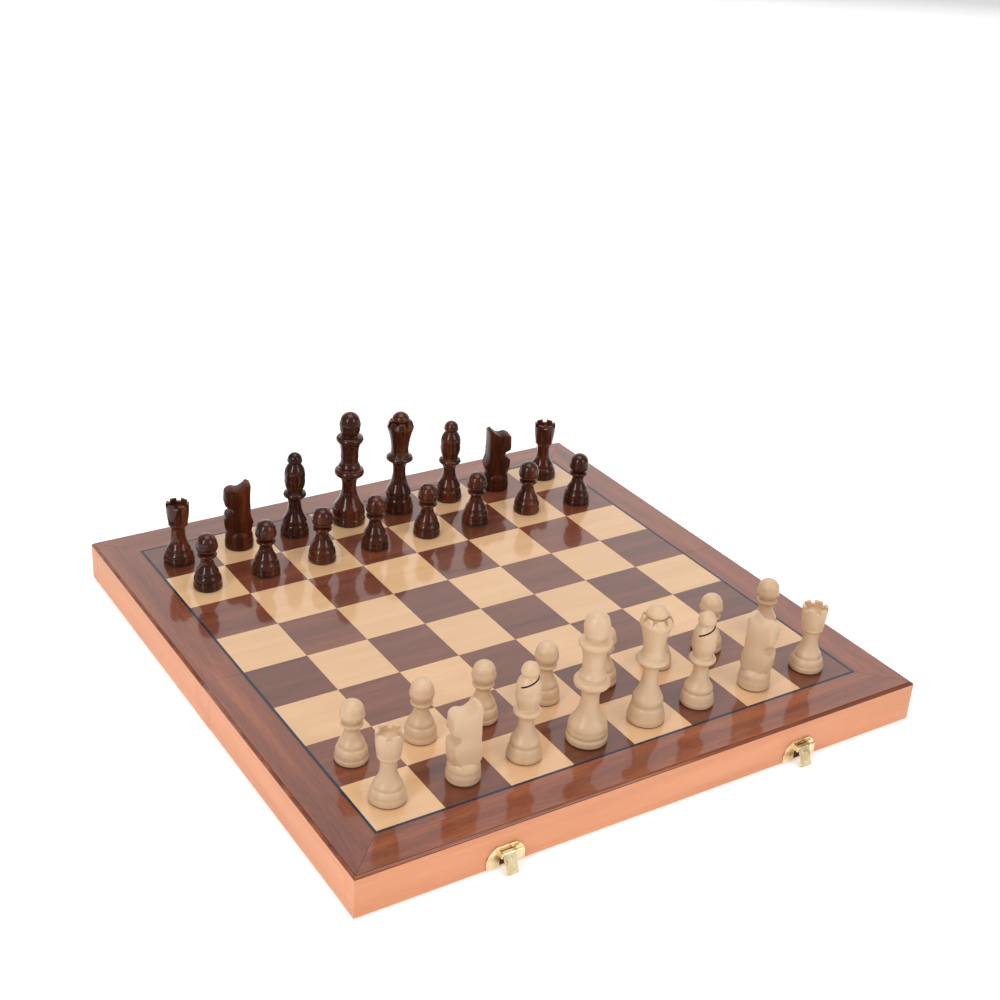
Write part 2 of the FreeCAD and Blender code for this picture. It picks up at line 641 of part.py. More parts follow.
def border_veneer(side):
    """Three border strips of one half, mitred at the two corners."""
    pieces = []
    inner = DIMS["square_side"] * 4 + DIMS["line_width"]
    outer = DIMS["board_side"] / 2 - DIMS["edge_round"]
    inner_rule = f"({FIELD} + {cell('line_width')})"
    outer_rule = f"({HALF} - {cell('edge_round')})"
    sign = 1 if side == "far" else -1
    gap = DIMS["veneer_gap"]
    gap_rule = cell("veneer_gap")
    fold = DIMS["fold_gap"]
    inner_y = f"{sign} * {inner_rule}"
    outer_y = f"{sign} * {outer_rule}"
    strips = {"cross": [
        (-inner + gap, f"-{inner_rule} + {gap_rule}", sign * inner, inner_y, 0),
        (inner - gap, f"{inner_rule} - {gap_rule}", sign * inner, inner_y, 0),
        (outer - gap, f"{outer_rule} - {gap_rule}", sign * outer, outer_y, 0),
        (-outer + gap, f"-{outer_rule} + {gap_rule}", sign * outer, outer_y, 0)]}
    for hand, way in (("left", -1), ("right", 1)):
        inner_x = f"{way} * {inner_rule}"
        outer_x = f"{way} * {outer_rule}"
        strips[hand] = [
            (way * inner, inner_x, sign * fold, f"{sign} * {GAP}", 0),
            (way * outer, outer_x, sign * fold, f"{sign} * {GAP}", 0),
            (way * outer, outer_x, sign * (outer - gap), f"{sign} * ({outer_rule} - {gap_rule})", 0),
            (way * inner, inner_x, sign * (inner - gap), f"{sign} * ({inner_rule} - {gap_rule})", 0)]
    for name, corners in strips.items():
        body = doc.addObject("PartDesign::Body", f"{side}_{name}_border")
        sketch = new_sketch(body, f"{side}_{name}_border_outline", "XY_Plane")
        draw_outline(sketch, corners)
        pad = body.newObject("PartDesign::Pad", f"{side}_{name}_border_strip")
        pad.Profile = sketch
        set_rules(pad, {"Length": cell("veneer_depth")})
        pieces.append(place(body, z=PANEL_TOP))
    return as_subpart(group(f"{side}_border_group", pieces), f"{side}_border_veneer")


def hinge_leaves(side):
    """Leaves of the two hinges on one half: end knuckles on the near half, a middle one on the far."""
    length = cell("hinge_length")
    half = f"{length} / 2"
    inner_end = f"{length} / 4"
    gap = cell("knuckle_gap")
    thick = cell("leaf_depth")
    end_length = f"{half} - {inner_end} - {gap}"
    spans = {
        "near": [(f"-{half}", end_length), (f"{inner_end} + {gap}", end_length)],
        "far": [(f"-{inner_end}", f"2 * {inner_end}")],
    }
    root = f"{cell('knuckle_radius')} + {cell('knuckle_clearance')}"
    reach = f"{cell('leaf_reach')} - ({root})"
    wholes = []
    for hand in (-1, 1):
        middle = f"{hand} * {cell('hinge_offset')}"
        name = f"{side}_leaf_{hand + 1}"
        flat_corner = (f"{middle} - {half}", mirrored(side, root, reach), "0")
        solid = [box(f"{name}_flat", (length, reach, thick), flat_corner)]
        for number, (start, run) in enumerate(spans[side]):
            begin = f"{middle} + {start}"
            solid.append(rod(f"{name}_knuckle_{number}", cell("knuckle_radius"), run,
                             (begin, "0", AXLE), ALONG_X))
            tongue_corner = (begin, mirrored(side, f"{cell('knuckle_radius')} / 4", root), "0")
            solid.append(box(f"{name}_tongue_{number}", (run, root, thick), tongue_corner))
        bore_start = (f"{middle} - {half} - {OVERSHOOT}", "0", AXLE)
        tools = [rod(f"{name}_bore", f"{cell('hinge_pin_radius')} + {cell('running_gap')}",
                     f"{length} + 2 * {OVERSHOOT}", bore_start, ALONG_X)]
        for end in (-1, 1):
            tools.append(countersink(f"{name}_sink_{end + 1}", *hinge_seat(side, hand, end)))
        wholes.append(cut(name, fuse(f"{name}_solid", solid), fuse(f"{name}_tools", tools)))
    return as_subpart(group(f"{side}_leaf_pair", wholes), f"hinge_leaves_{side}")


def hinge_pins():
    pins = [rod(f"hinge_pin_{hand + 1}", cell("hinge_pin_radius"), cell("hinge_length"),
                (f"{hand} * {cell('hinge_offset')} - {cell('hinge_length')} / 2", "0", AXLE), ALONG_X)
            for hand in (-1, 1)]
    return as_subpart(group("hinge_pin_pair", pins), "hinge_pins")


PIN_Y = f"(-{HALF} - {cell('plate_depth')} - {cell('latch_pin_reach')})"
PIN_Z = cell("latch_pin_height")
CHEEK_START = f"({cell('flap_width')} / 2 + {cell('cheek_gap')})"
PLATE_SHOULDER = 0.4
CATCH_SHOULDER = 0.5


def arched_plate(name, width, height, arch):
    """Plate in the XZ plane, thick towards -Y: a straight foot, sides up to arch, and an arched top."""
    body = doc.addObject("PartDesign::Body", name)
    sketch = new_sketch(body, f"{name}_outline", "XZ_Plane")
    half = DIMS[width] / 2
    full = DIMS[height]
    draw_outline(sketch, [
        (-half, f"-{cell(width)} / 2", 0, "0", 0), (half, f"{cell(width)} / 2", 0, "0", 0),
        (half, f"{cell(width)} / 2", full * arch, f"{cell(height)} * {arch}", 0),
        (half * 0.5, f"{cell(width)} / 4", full, cell(height), 0.12),
        (-half * 0.5, f"-{cell(width)} / 4", full, cell(height), 0),
        (-half, f"-{cell(width)} / 2", full * arch, f"{cell(height)} * {arch}", 0.12)], width)
    pad = body.newObject("PartDesign::Pad", f"{name}_pad")
    pad.Profile = sketch
    set_rules(pad, {"Length": cell("plate_depth")})
    return body


def latch_plates():
    """Stamped plates of the two latches, each with two cheeks that carry the cross pin."""
    cheek = cell("cheek_width")
    around_pin = cell("cheek_reach")
    reach = f"{cell('latch_pin_reach')} + {around_pin}"
    front = f"-{HALF} - {cell('plate_depth')}"
    wholes = []
    for hand in (-1, 1):
        middle = f"{hand} * {cell('latch_offset')}"
        name = f"latch_plate_{hand + 1}"
        plate = arched_plate(f"{name}_flat", "plate_width", "plate_height", PLATE_SHOULDER)
        solid = [place(plate, middle, f"-{HALF}", cell("plate_bottom"))]
        for end, start in ((0, f"-{CHEEK_START} - {cheek}"), (1, CHEEK_START)):
            solid.append(box(
                f"{name}_cheek_{end}", (cheek, f"{reach} + {cell('plate_depth')} / 2", f"2 * {around_pin}"),
                (f"{middle} + {start}", f"{front} - ({reach})", f"{PIN_Z} - {around_pin}")))
        bore_start = (f"{middle} - {CHEEK_START} - {cheek} - {OVERSHOOT}", PIN_Y, PIN_Z)
        tools = [rod(f"{name}_bore", f"{cell('latch_pin_radius')} + {cell('running_gap')}",
                     f"2 * ({CHEEK_START} + {cheek} + {OVERSHOOT})", bore_start, ALONG_X)]
        for end in (-1, 1):
            tools.append(countersink(f"{name}_sink_{end + 1}", *edge_seat("near", hand, end)))
        wholes.append(cut(name, fuse(f"{name}_solid", solid), fuse(f"{name}_tools", tools)))
    return as_subpart(group("latch_plate_pair", wholes), "latch_plates")


def latch_pins():
    half = f"({CHEEK_START} + {cell('cheek_width')})"
    pins = [rod(f"latch_pin_{hand + 1}", cell("latch_pin_radius"), f"2 * {half}",
                (f"{hand} * {cell('latch_offset')} - {half}", PIN_Y, PIN_Z), ALONG_X)
            for hand in (-1, 1)]
    return as_subpart(group("latch_pin_pair", pins), "latch_pins")


def latch_flap(label, hand):
    """Swinging flap: barrel round the pin, flat tongue and a lip at its end that hooks under the nib."""
    width = cell("flap_width")
    outer = cell("flap_barrel")
    thick = cell("flap_depth")
    corner = (f"-{width} / 2", f"-{outer}", f"-{cell('flap_length')}")
    barrel = rod(f"{label}_barrel", outer, width, (f"-{width} / 2", "0", "0"), ALONG_X)
    tongue = box(f"{label}_tongue", (width, thick, cell("flap_length")), corner)
    lip = box(f"{label}_lip", (width, f"{thick} + {cell('lip_reach')}", cell("lip_depth")), corner)
    bore = rod(f"{label}_bore", f"{cell('latch_pin_radius')} + {cell('running_gap')}",
               f"{width} + 2 * {OVERSHOOT}", (f"-{width} / 2 - {OVERSHOOT}", "0", "0"), ALONG_X)
    whole = cut(f"{label}_cut", fuse(f"{label}_solid", [barrel, tongue, lip]), bore)
    turn(whole, FreeCAD.Vector(1, 0, 0), -DIMS["flap_swing"])
    place(whole, f"{hand} * {cell('latch_offset')}", PIN_Y, PIN_Z)
    return as_subpart(whole, label)


def catch_plates():
    """Plates on the far edge with the nib that the flap's lip hooks when the case is shut."""
    face = f"{HALF} + {cell('plate_depth')}"
    root = f"{cell('plate_depth')} / 2"
    wholes = []
    for hand in (-1, 1):
        middle = f"{hand} * {cell('latch_offset')}"
        name = f"catch_plate_{hand + 1}"
        plate = arched_plate(f"{name}_flat", "catch_width", "catch_height", CATCH_SHOULDER)
        place(plate, middle, face, cell("nib_bottom"))
        nib = box(f"{name}_nib", (cell("nib_width"), f"{cell('nib_reach')} + {root}", cell("nib_depth")),
                  (f"{middle} - {cell('nib_width')} / 2", f"{face} - {root}", cell("nib_bottom")))
        tools = [countersink(f"{name}_sink_{end + 1}", *edge_seat("far", hand, end)) for end in (-1, 1)]
        wholes.append(cut(name, fuse(f"{name}_solid", [plate, nib]), fuse(f"{name}_tools", tools)))
    return as_subpart(group("catch_plate_pair", wholes), "catch_plates")


def spare_queen(side, label):
    """Spare queen lying in her cut-out with her head towards +Y, clear of the panel above."""
    queen = man(label, "queen")
    turn(queen, FreeCAD.Vector(1, 0, 0), -90)
    place(queen, f"(4 - {QUEEN_SPARE_SLOT}) * {cell('officer_pitch')}", str(BASE_LINE[side]["officer"]),
          f"{cell('rail_depth')} - {cell('queen_base')} / 2 - {cell('spare_clearance')}")


spare_queen("near", "dark_spare_queen")
spare_queen("far", "white_spare_queen")
for half in ("near", "far"):
    long_rails(half)
    side_rails(half)
    panel(half)
    border_veneer(half)
    squares(half, "light")
    squares(half, "dark")
    stringing(half)
    foam_liner(half)
    screws(half)
    hinge_leaves(half)
hinge_pins()
latch_plates()
latch_pins()
latch_flap("latch_left_flap", -1)
latch_flap("latch_right_flap", 1)
catch_plates()

doc.recompute()
for item in doc.Objects:
    if "Invalid" in item.State or "Error" in item.State:
        raise RuntimeError(f"{item.Name} failed: {item.State}")
for subpart in SUBPARTS:
    if subpart.Shape.isNull() or not subpart.Shape.isValid():
        raise RuntimeError(f"{subpart.Label} has no valid shape")

os.makedirs("parts", exist_ok=True)
for subpart in SUBPARTS:
    subpart.Shape.exportStep(f"parts/{subpart.Label}.step")
    solids = len(subpart.Shape.Solids)
    print(f"{subpart.Label}: {solids} solid(s), {subpart.Shape.Volume:.1f} mm3")
print(len(SUBPARTS), "sub-parts")
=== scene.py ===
import json
import math

import bmesh
import bpy
from mathutils import Matrix, Vector


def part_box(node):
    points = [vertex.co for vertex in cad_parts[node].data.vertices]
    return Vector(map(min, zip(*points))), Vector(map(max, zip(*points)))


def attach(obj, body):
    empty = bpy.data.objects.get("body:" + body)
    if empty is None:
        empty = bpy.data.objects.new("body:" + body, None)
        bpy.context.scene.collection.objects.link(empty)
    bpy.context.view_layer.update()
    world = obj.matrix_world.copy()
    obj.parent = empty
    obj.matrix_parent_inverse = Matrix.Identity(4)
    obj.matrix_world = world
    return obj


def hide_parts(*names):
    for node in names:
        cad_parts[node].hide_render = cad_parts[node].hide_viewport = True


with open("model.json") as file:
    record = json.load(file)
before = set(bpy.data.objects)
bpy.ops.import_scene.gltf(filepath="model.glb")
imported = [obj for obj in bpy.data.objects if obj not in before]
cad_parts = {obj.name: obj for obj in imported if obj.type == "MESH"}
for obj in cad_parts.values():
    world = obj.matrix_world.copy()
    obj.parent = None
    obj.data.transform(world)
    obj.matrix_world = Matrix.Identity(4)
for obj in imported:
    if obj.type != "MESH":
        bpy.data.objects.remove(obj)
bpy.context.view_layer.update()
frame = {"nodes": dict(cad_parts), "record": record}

MM = 0.001
HAIR = 0.001 * MM
RECORD = frame["record"]
BODY_OF = {node: body for body, nodes in RECORD["behaviour"]["bodies"].items() for node in nodes}

# ---------------------------------------------------------------- sizes read from the frame

SQUARE = (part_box("near_light_squares")[1].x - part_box("near_light_squares")[0].x) / 8
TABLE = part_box("hinge_leaves_near")[0].z

# ---------------------------------------------------------------- materials


class Finish:
    """A material under construction: its shader, and short ways to add and join nodes."""

    def __init__(self, name, **sockets):
        self.material = bpy.data.materials.new(name)
        self.material.use_nodes = True
        self.tree = self.material.node_tree
        self.shader = self.tree.nodes["Principled BSDF"]
        for socket, value in sockets.items():
            self.shader.inputs[socket.replace("_", " ")].default_value = value

    def node(self, kind, inputs=None, **settings):
        made = self.tree.nodes.new(kind)
        for name, value in settings.items():
            setattr(made, name, value)
        for socket, value in (inputs or {}).items():
            if isinstance(value, bpy.types.NodeSocket):
                self.tree.links.new(value, made.inputs[socket])
            else:
                made.inputs[socket].default_value = value
        return made

    def coordinates(self):
        return self.node("ShaderNodeTexCoord").outputs["Object"]

    def noise(self, vector, scale, detail=4, roughness=0.55, distortion=0.0):
        return self.node("ShaderNodeTexNoise", {
            "Vector": vector, "Scale": scale, "Detail": detail, "Roughness": roughness,
            "Distortion": distortion}).outputs["Fac"]

    def ramp(self, factor, stops):
        made = self.node("ShaderNodeValToRGB", {"Fac": factor})
        points = made.color_ramp.elements
        while len(points) < len(stops):
            points.new(0.5)
        for point, (place, colour) in zip(points, stops):
            point.position = place
            point.color = (*colour, 1)
        return made.outputs["Color"]

    def blend(self, factor, first, second, mode="MIX"):
        made = self.node("ShaderNodeMix", data_type="RGBA", blend_type=mode)
        for socket, value in ((0, factor), (6, first), (7, second)):
            if isinstance(value, bpy.types.NodeSocket):
                self.tree.links.new(value, made.inputs[socket])
            else:
                made.inputs[socket].default_value = value
        return made.outputs[2]

    def span(self, factor, low, high, start=0.0, stop=1.0):
        return self.node("ShaderNodeMapRange", {
            "Value": factor, "From Min": start, "From Max": stop, "To Min": low,
            "To Max": high}).outputs["Result"]

    def vector(self, operation, first, second=(0, 0, 0)):
        return self.node("ShaderNodeVectorMath", {0: first, 1: second}, operation=operation).outputs["Vector"]

    def bump(self, height, strength, distance, under=None):
        inputs = {"Height": height, "Strength": strength, "Distance": distance}
        if under is not None:
            inputs["Normal"] = under
        return self.node("ShaderNodeBump", inputs).outputs["Normal"]

    def wear(self, **links):
        for socket, value in links.items():
            self.tree.links.new(value, self.shader.inputs[socket.replace("_", " ")])
        return self.material


ALONG = {"X": (1.0, 14.0, 14.0), "Y": (14.0, 1.0, 14.0), "Z": (14.0, 14.0, 1.0)}
TILE_DEPTH = 10.0


def wood(name, dark, middle, light, grain="X", fibre=90, figure=7, shine=0.3, gleam=0.5, coat=0.0,
         coat_gloss=0.1, coat_index=1.5, tiles=None, tile_change=0.0):
    """Planed wood: broad figure, fine fibres and pores along the grain, under an optional lacquer.

    With tiles, every cell of that size is cut from another place of the wood and has its own tone.
    """
    finish = Finish(name, Specular_IOR_Level=gleam, Coat_Weight=coat, Coat_Roughness=coat_gloss,
                    Coat_IOR=coat_index)
    place = finish.coordinates()
    if tiles:
        cell = finish.vector("FLOOR", finish.vector("DIVIDE", place, (tiles, tiles, TILE_DEPTH)))
        chance = finish.node("ShaderNodeTexWhiteNoise", {"Vector": cell}, noise_dimensions="3D")
        place = finish.vector("ADD", place, chance.outputs["Color"])
    streaks = finish.vector("MULTIPLY", place, ALONG[grain])
    broad = finish.noise(streaks, figure, 3, 0.5, 0.6)
    fine = finish.noise(streaks, fibre, 5, 0.65)
    pore = finish.noise(streaks, fibre * 2.6, 2, 0.5)
    mixed = finish.blend(0.38, broad, fine)
    colour = finish.ramp(mixed, ((0.3, dark), (0.5, middle), (0.7, light)))
    if tiles:
        tone = finish.span(chance.outputs["Value"], 1 - tile_change, 1 + tile_change)
        colour = finish.blend(1.0, colour, finish.node("ShaderNodeCombineColor", {
            "Red": tone, "Green": tone, "Blue": tone}).outputs["Color"], "MULTIPLY")
    gloss = finish.span(fine, shine - 0.06, shine + 0.08)
    relief = finish.bump(pore, 0.05, 0.0004)
    return finish.wear(Base_Color=colour, Roughness=gloss, Normal=relief)


def felt(name, colour):
    finish = Finish(name, Sheen_Weight=0.5, Sheen_Roughness=0.6, Roughness=0.95)
    place = finish.coordinates()
    fuzz = finish.noise(place, 900, 6, 0.7)
    shade = finish.ramp(fuzz, ((0.3, tuple(part * 0.55 for part in colour)), (0.7, colour)))
    return finish.wear(Base_Color=shade, Normal=finish.bump(fuzz, 0.6, 0.0004))


def foam(name):
    """Black die-cut foam with a short flock: fine cells and a faint dusty sheen."""
    finish = Finish(name, Sheen_Weight=0.25, Sheen_Roughness=0.5, Roughness=0.9)
    place = finish.coordinates()
    cells = finish.node("ShaderNodeTexVoronoi", {"Vector": place, "Scale": 1400.0}).outputs["Distance"]
    flock = finish.noise(place, 260, 6, 0.7)
    shade = finish.ramp(flock, ((0.35, (0.006, 0.006, 0.007)), (0.65, (0.022, 0.022, 0.024))))
    relief = finish.bump(flock, 0.4, 0.0006, finish.bump(cells, 0.5, 0.0003))
    return finish.wear(Base_Color=shade, Normal=relief)


def brass(name):
    """Plated brass, faintly brushed and dulled in patches."""
    finish = Finish(name, Metallic=1.0)
    place = finish.coordinates()
    patches = finish.noise(place, 160, 4, 0.6)
    lines = finish.noise(finish.vector("MULTIPLY", place, (1.0, 12.0, 12.0)), 700, 3, 0.6)
    colour = finish.ramp(patches, ((0.3, (0.62, 0.47, 0.26)), (0.5, (0.80, 0.65, 0.40)),
                                   (0.75, (0.88, 0.75, 0.51))))
    gloss = finish.span(patches, 0.2, 0.32, 0.3, 0.7)
    return finish.wear(Base_Color=colour, Roughness=gloss, Normal=finish.bump(lines, 0.05, 0.0002))


def recess_shade(name):
    """Dark brass for the latch's recess: painted shade, standing in for the shadow behind the flap."""
    finish = Finish(name, Metallic=0.8)
    patches = finish.noise(finish.coordinates(), 300, 5, 0.6)
    colour = finish.ramp(patches, ((0.35, (0.02, 0.012, 0.006)), (0.7, (0.12, 0.075, 0.035))))
    return finish.wear(Base_Color=colour, Roughness=finish.span(patches, 0.4, 0.7))


def inlay(name):
    """Dyed inlay line, nearly black with a blue cast."""
    finish = Finish(name, Specular_IOR_Level=0.2, Coat_Weight=0.45, Coat_Roughness=0.12)
    grain = finish.noise(finish.coordinates(), 800, 4, 0.6)
    shade = finish.ramp(grain, ((0.3, (0.003, 0.008, 0.024)), (0.7, (0.010, 0.026, 0.062))))
    return finish.wear(Base_Color=shade, Roughness=finish.span(grain, 0.2, 0.35))


MAPLE = ((0.68, 0.405, 0.205), (0.74, 0.450, 0.235), (0.78, 0.485, 0.258))
WALNUT = ((0.095, 0.024, 0.010), (0.158, 0.040, 0.017), (0.215, 0.062, 0.027))
STAINED = ((0.090, 0.018, 0.007), (0.220, 0.052, 0.019), (0.380, 0.108, 0.041))
PINE = ((0.62, 0.245, 0.115), (0.71, 0.290, 0.140), (0.77, 0.335, 0.170))
BOXWOOD = ((0.62, 0.418, 0.255), (0.66, 0.452, 0.28), (0.69, 0.482, 0.305))
MAHOGANY = ((0.014, 0.003, 0.002), (0.052, 0.011, 0.004), (0.180, 0.042, 0.012))

LACQUER = dict(gleam=0.2, coat=1.0, coat_gloss=0.07, coat_index=1.48)
LIGHT_VENEER = wood("light_veneer", *MAPLE, grain="X", shine=0.34, tiles=SQUARE, tile_change=0.04, **LACQUER)
DARK_VENEER = wood("dark_veneer", *WALNUT, grain="X", shine=0.32, tiles=SQUARE, tile_change=0.2, **LACQUER)
BORDER = {way: wood(f"walnut_border_{way}", *STAINED, grain=way, figure=5, shine=0.3, **LACQUER)
          for way in "XY"}
FRAME_WOOD = {way: wood(f"frame_wood_{way}", *PINE, grain=way, figure=6, shine=0.45, gleam=0.35, coat=0.15,
                        coat_gloss=0.3) for way in "XY"}
PANEL_WOOD = wood("panel_wood", *STAINED, grain="X", shine=0.3, **LACQUER)
PALE_MEN = wood("boxwood", *BOXWOOD, grain="Z", fibre=60, shine=0.4, gleam=0.3, coat=0.3, coat_gloss=0.25)
DARK_MEN = wood("dark_stain", *MAHOGANY, grain="Z", fibre=34, figure=5, shine=0.3, gleam=0.05, coat=1.0,
                coat_gloss=0.035, coat_index=1.36)
DARK_CARVED = wood("dark_stain_carved", *MAHOGANY, grain="Z", fibre=60, shine=0.4, gleam=0.05, coat=0.3,
                   coat_gloss=0.2, coat_index=1.33)
# Dark wood used only as painted shade: inside the bishop's slit, and as the shadow line under the panel's lip.
PAINTED_SHADE_WOOD = wood("painted_shade_wood", (0.02, 0.008, 0.004), (0.045, 0.018, 0.009), (0.08, 0.034, 0.018), grain="Z",
                 fibre=60, shine=0.7, gleam=0.1)
FELT = felt("base_felt", (0.012, 0.016, 0.013))
FOAM = foam("black_foam")
BRASS = brass("brass")
# dark brass: painted shade for the latch recesses
RECESS_SHADE = recess_shade("painted_recess_shade")
INLAY = inlay("line_inlay")

# ---------------------------------------------------------------- making and placing pieces

ARRIS_ANGLE = math.radians(35)


def object_from(name, bm):
    """Turn a bmesh into an object at the origin, and free it."""
    mesh = bpy.data.meshes.new(name)
    bm.to_mesh(mesh)
    bm.free()
    made = bpy.data.objects.new(name, mesh)
    bpy.context.scene.collection.objects.link(made)
    return made


def detail_from(name, bm, finish, node):
    """A piece that rides beside a CAD node, but hides nothing."""
    piece = object_from(name, bm)
    piece.data.materials.append(finish)
    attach(piece, BODY_OF[node])
    return piece


def piece_from(name, bm, finish, node):
    """A piece that rides with a CAD node's body and stands for that node."""
    piece = detail_from(name, bm, finish, node)
    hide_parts(node)
    return piece


def smooth(piece, degrees):
    """Shade smooth, and keep edges sharper than the angle crisp."""
    for face in piece.data.polygons:
        face.use_smooth = True
    piece.data.set_sharp_from_angle(angle=math.radians(degrees))
    return piece


def soften(piece, width):
    """Round a piece's arrises, as a sanding block or a stamping die does."""
    bevel = piece.modifiers.new("arris", "BEVEL")
    bevel.width = width
    bevel.segments = 3
    bevel.limit_method = "ANGLE"
    bevel.angle_limit = ARRIS_ANGLE
    return smooth(piece, 60)


def merged_copy(node):
    """A CAD node's mesh as a bmesh with shared corners and whole flat faces."""
    bm = bmesh.new()
    bm.from_mesh(frame["nodes"][node].data)
    bmesh.ops.remove_doubles(bm, verts=bm.verts, dist=2 * HAIR)
    bmesh.ops.dissolve_limit(bm, angle_limit=math.radians(0.5), verts=bm.verts, edges=bm.edges)
    return bm


def extent(points):
    """Lowest and highest corner of the box round some points."""
    return Vector(map(min, *points)), Vector(map(max, *points))


def islands(bm):
    """The separate solids of a bmesh, as lists of faces."""
    waiting = set(bm.faces)
    found = []
    while waiting:
        group = [waiting.pop()]
        for face in group:
            for edge in face.edges:
                for other in edge.link_faces:
                    if other in waiting:
                        waiting.remove(other)
                        group.append(other)
        found.append(group)
    return found


def part_of(node, keep):
    """Copy of the solids of a node that keep(centre, size) picks."""
    bm = merged_copy(node)
    for group in islands(bm):
        low, high = extent([vert.co for face in group for vert in face.verts])
        if not keep((low + high) / 2, high - low):
            bmesh.ops.delete(bm, geom=list({vert for face in group for vert in face.verts}), context="VERTS")
    return bm


def reshaped(node, finish, width, name=None, keep=None):
    bm = part_of(node, keep) if keep else merged_copy(node)
    piece = piece_from(name or f"{node}_finished", bm, finish, node)
    return soften(piece, width)


# ---------------------------------------------------------------- turned men

# Outlines: (share of base radius, share of height, bow of the arriving edge). All but HORSE are half outlines.
DOME = "dome"
FOOT = [(0.97, 0.0, 0), (1.0, 0.02, 0.12), (0.98, 0.05, 0.1)]
SHORT_FOOT = [(0.97, 0.0, 0), (1.0, 0.035, 0.12), (0.96, 0.085, 0.1)]
TURNED = {
    "king": FOOT + [
        (0.94, 0.058, 0), (0.95, 0.1, 0.1), (0.85, 0.16, 0.08), (0.44, 0.375, -0.1), (0.83, 0.44, -0.1),
        (0.78, 0.49, 0.2), (0.62, 0.5, -0.1), (0.58, 0.535, 0.2), (0.54, 0.6, -0.08), (0.57, 0.69, -0.04),
        (0.76, 0.745, -0.06), (0.68, 0.79, 0.25), (0.46, 0.805, -0.1), (0.6, 0.87, 0.12), (0.58, 0.925, 0.1),
        (0.0, 1.0, DOME)],
    "queen": FOOT + [
        (0.86, 0.125, 0.02), (0.8, 0.152, -0.1), (0.75, 0.22, 0.1), (0.43, 0.46, -0.08), (0.86, 0.525, -0.1),
        (0.72, 0.565, 0.2), (0.62, 0.58, -0.1), (0.58, 0.66, -0.06), (0.83, 0.83, -0.03), (0.8, 0.88, 0.15),
        (0.66, 0.915, 0.15), (0.47, 0.9, 0), (0.55, 0.945, 0.12), (0.0, 1.0, DOME)],
    "bishop": FOOT + [
        (0.88, 0.125, 0.03), (0.83, 0.15, -0.1), (0.78, 0.2, 0.12), (0.44, 0.4, -0.08), (0.78, 0.475, -0.1),
        (0.68, 0.52, 0.2), (0.56, 0.53, -0.1), (0.58, 0.56, 0), (0.71, 0.7, 0.08), (0.38, 0.875, 0.12),
        (0.5, 0.925, 0.25), (0.0, 1.0, DOME)],
    "rook": SHORT_FOOT + [
        (0.83, 0.185, 0.08), (0.78, 0.2, -0.1), (0.72, 0.26, 0.08), (0.45, 0.49, -0.08), (0.45, 0.56, 0),
        (0.61, 0.63, -0.12), (0.61, 0.65, 0.2), (0.74, 0.985, 0.03), (0.7, 1.0, 0.2), (0.56, 1.0, 0),
        (0.52, 0.89, 0), (0.0, 0.88, 0)],
    "pawn": SHORT_FOOT + [
        (0.86, 0.225, 0.08), (0.79, 0.26, -0.14), (0.7, 0.33, 0.08), (0.43, 0.505, -0.06),
        (0.61, 0.58, -0.12), (0.58, 0.635, 0.35), (0.44, 0.65, -0.1), (0.7, 0.82, 0.22), (0.0, 1.0, DOME)],
    "knight": [
        (0.97, 0.0, 0), (1.0, 0.04, 0.12), (0.96, 0.13, 0.06), (0.74, 0.26, 0.12), (0.0, 0.26, 0)],
}
HORSE = [
    (-0.6, 0.2, 0), (0.6, 0.2, 0), (0.99, 0.36, 0.18), (0.93, 0.5, 0.12), (0.62, 0.545, 0),
    (0.68, 0.645, -0.4), (1.0, 0.685, 0), (1.03, 0.82, 0.05), (0.86, 0.89, 0.16), (0.42, 0.91, 0.05),
    (0.0, 0.9, -0.1), (-0.5, 0.985, -0.05), (-0.78, 0.98, 0.2), (-0.74, 0.64, -0.02),
    (-0.97, 0.4, -0.08)]
HORSE_THICKNESS = 0.66
CHEST_REACH = 4.3 * MM
MUZZLE_REACH = 14.3 * MM
KNIFE_EDGE = 0.5 * MM
KNIFE_ANGLE = math.radians(32)
BLANK = [(0.66, 0.2, 0), (1.04, 0.36, 0.14), (1.0, 0.95, 0.02), (0.6, 1.0, 0.1), (0.0, 1.0, 0)]
BLANK_EASE = 0.6 * MM
TURNED_EASE = 0.45 * MM
ARC_STEPS = 7
SPIN_STEPS = 72
# Height and base width of the wood, in millimetres.
KINDS = {"king": (82.5, 23.6), "queen": (75.0, 21.8), "bishop": (60.5, 19.8), "knight": (47.0, 19.3),
         "rook": (42.5, 20.6), "pawn": (37.8, 18.9)}
FELT_DEPTH = 0.6 * MM
FELT_REACH = (0.468, 0.47)
SLIT_HALF = 0.007
SLIT_RISE = math.radians(25.4)
# Turn about Z, in degrees, of the men that have a front.
HEADINGS = {
    "white_knight_b": 170, "white_knight_g": -60, "dark_knight_b": 165, "dark_knight_g": -15,
    "white_bishop_c": -34, "white_bishop_f": -34, "dark_bishop_c": 60, "dark_bishop_f": 60,
}


def arc_points(first, last, bow):
    """Points after first up to last, along an arc whose rise is bow times its chord."""
    if not bow:
        return [last]
    if bow == DOME:
        rise = last.y - first.y
        radius = (first.x ** 2 + rise ** 2) / (2 * rise)
        centre = Vector((0, last.y - radius))
        start = math.atan2(first.y - centre.y, first.x)
        sweep = math.pi / 2 - start
    else:
        chord = last - first
        right = Vector((chord.y, -chord.x)).normalized()
        way = 1 if bow > 0 else -1
        radius = chord.length * (1 + 4 * bow * bow) / (8 * abs(bow))
        centre = (first + last) / 2 - right * way * (radius - abs(bow) * chord.length)
        start = math.atan2(first.y - centre.y, first.x - centre.x)
        sweep = way * 2 * math.asin(min(1.0, chord.length / (2 * radius)))
    return [centre + radius * Vector((math.cos(start + sweep * step / ARC_STEPS),
                                      math.sin(start + sweep * step / ARC_STEPS)))
            for step in range(1, ARC_STEPS)] + [last]


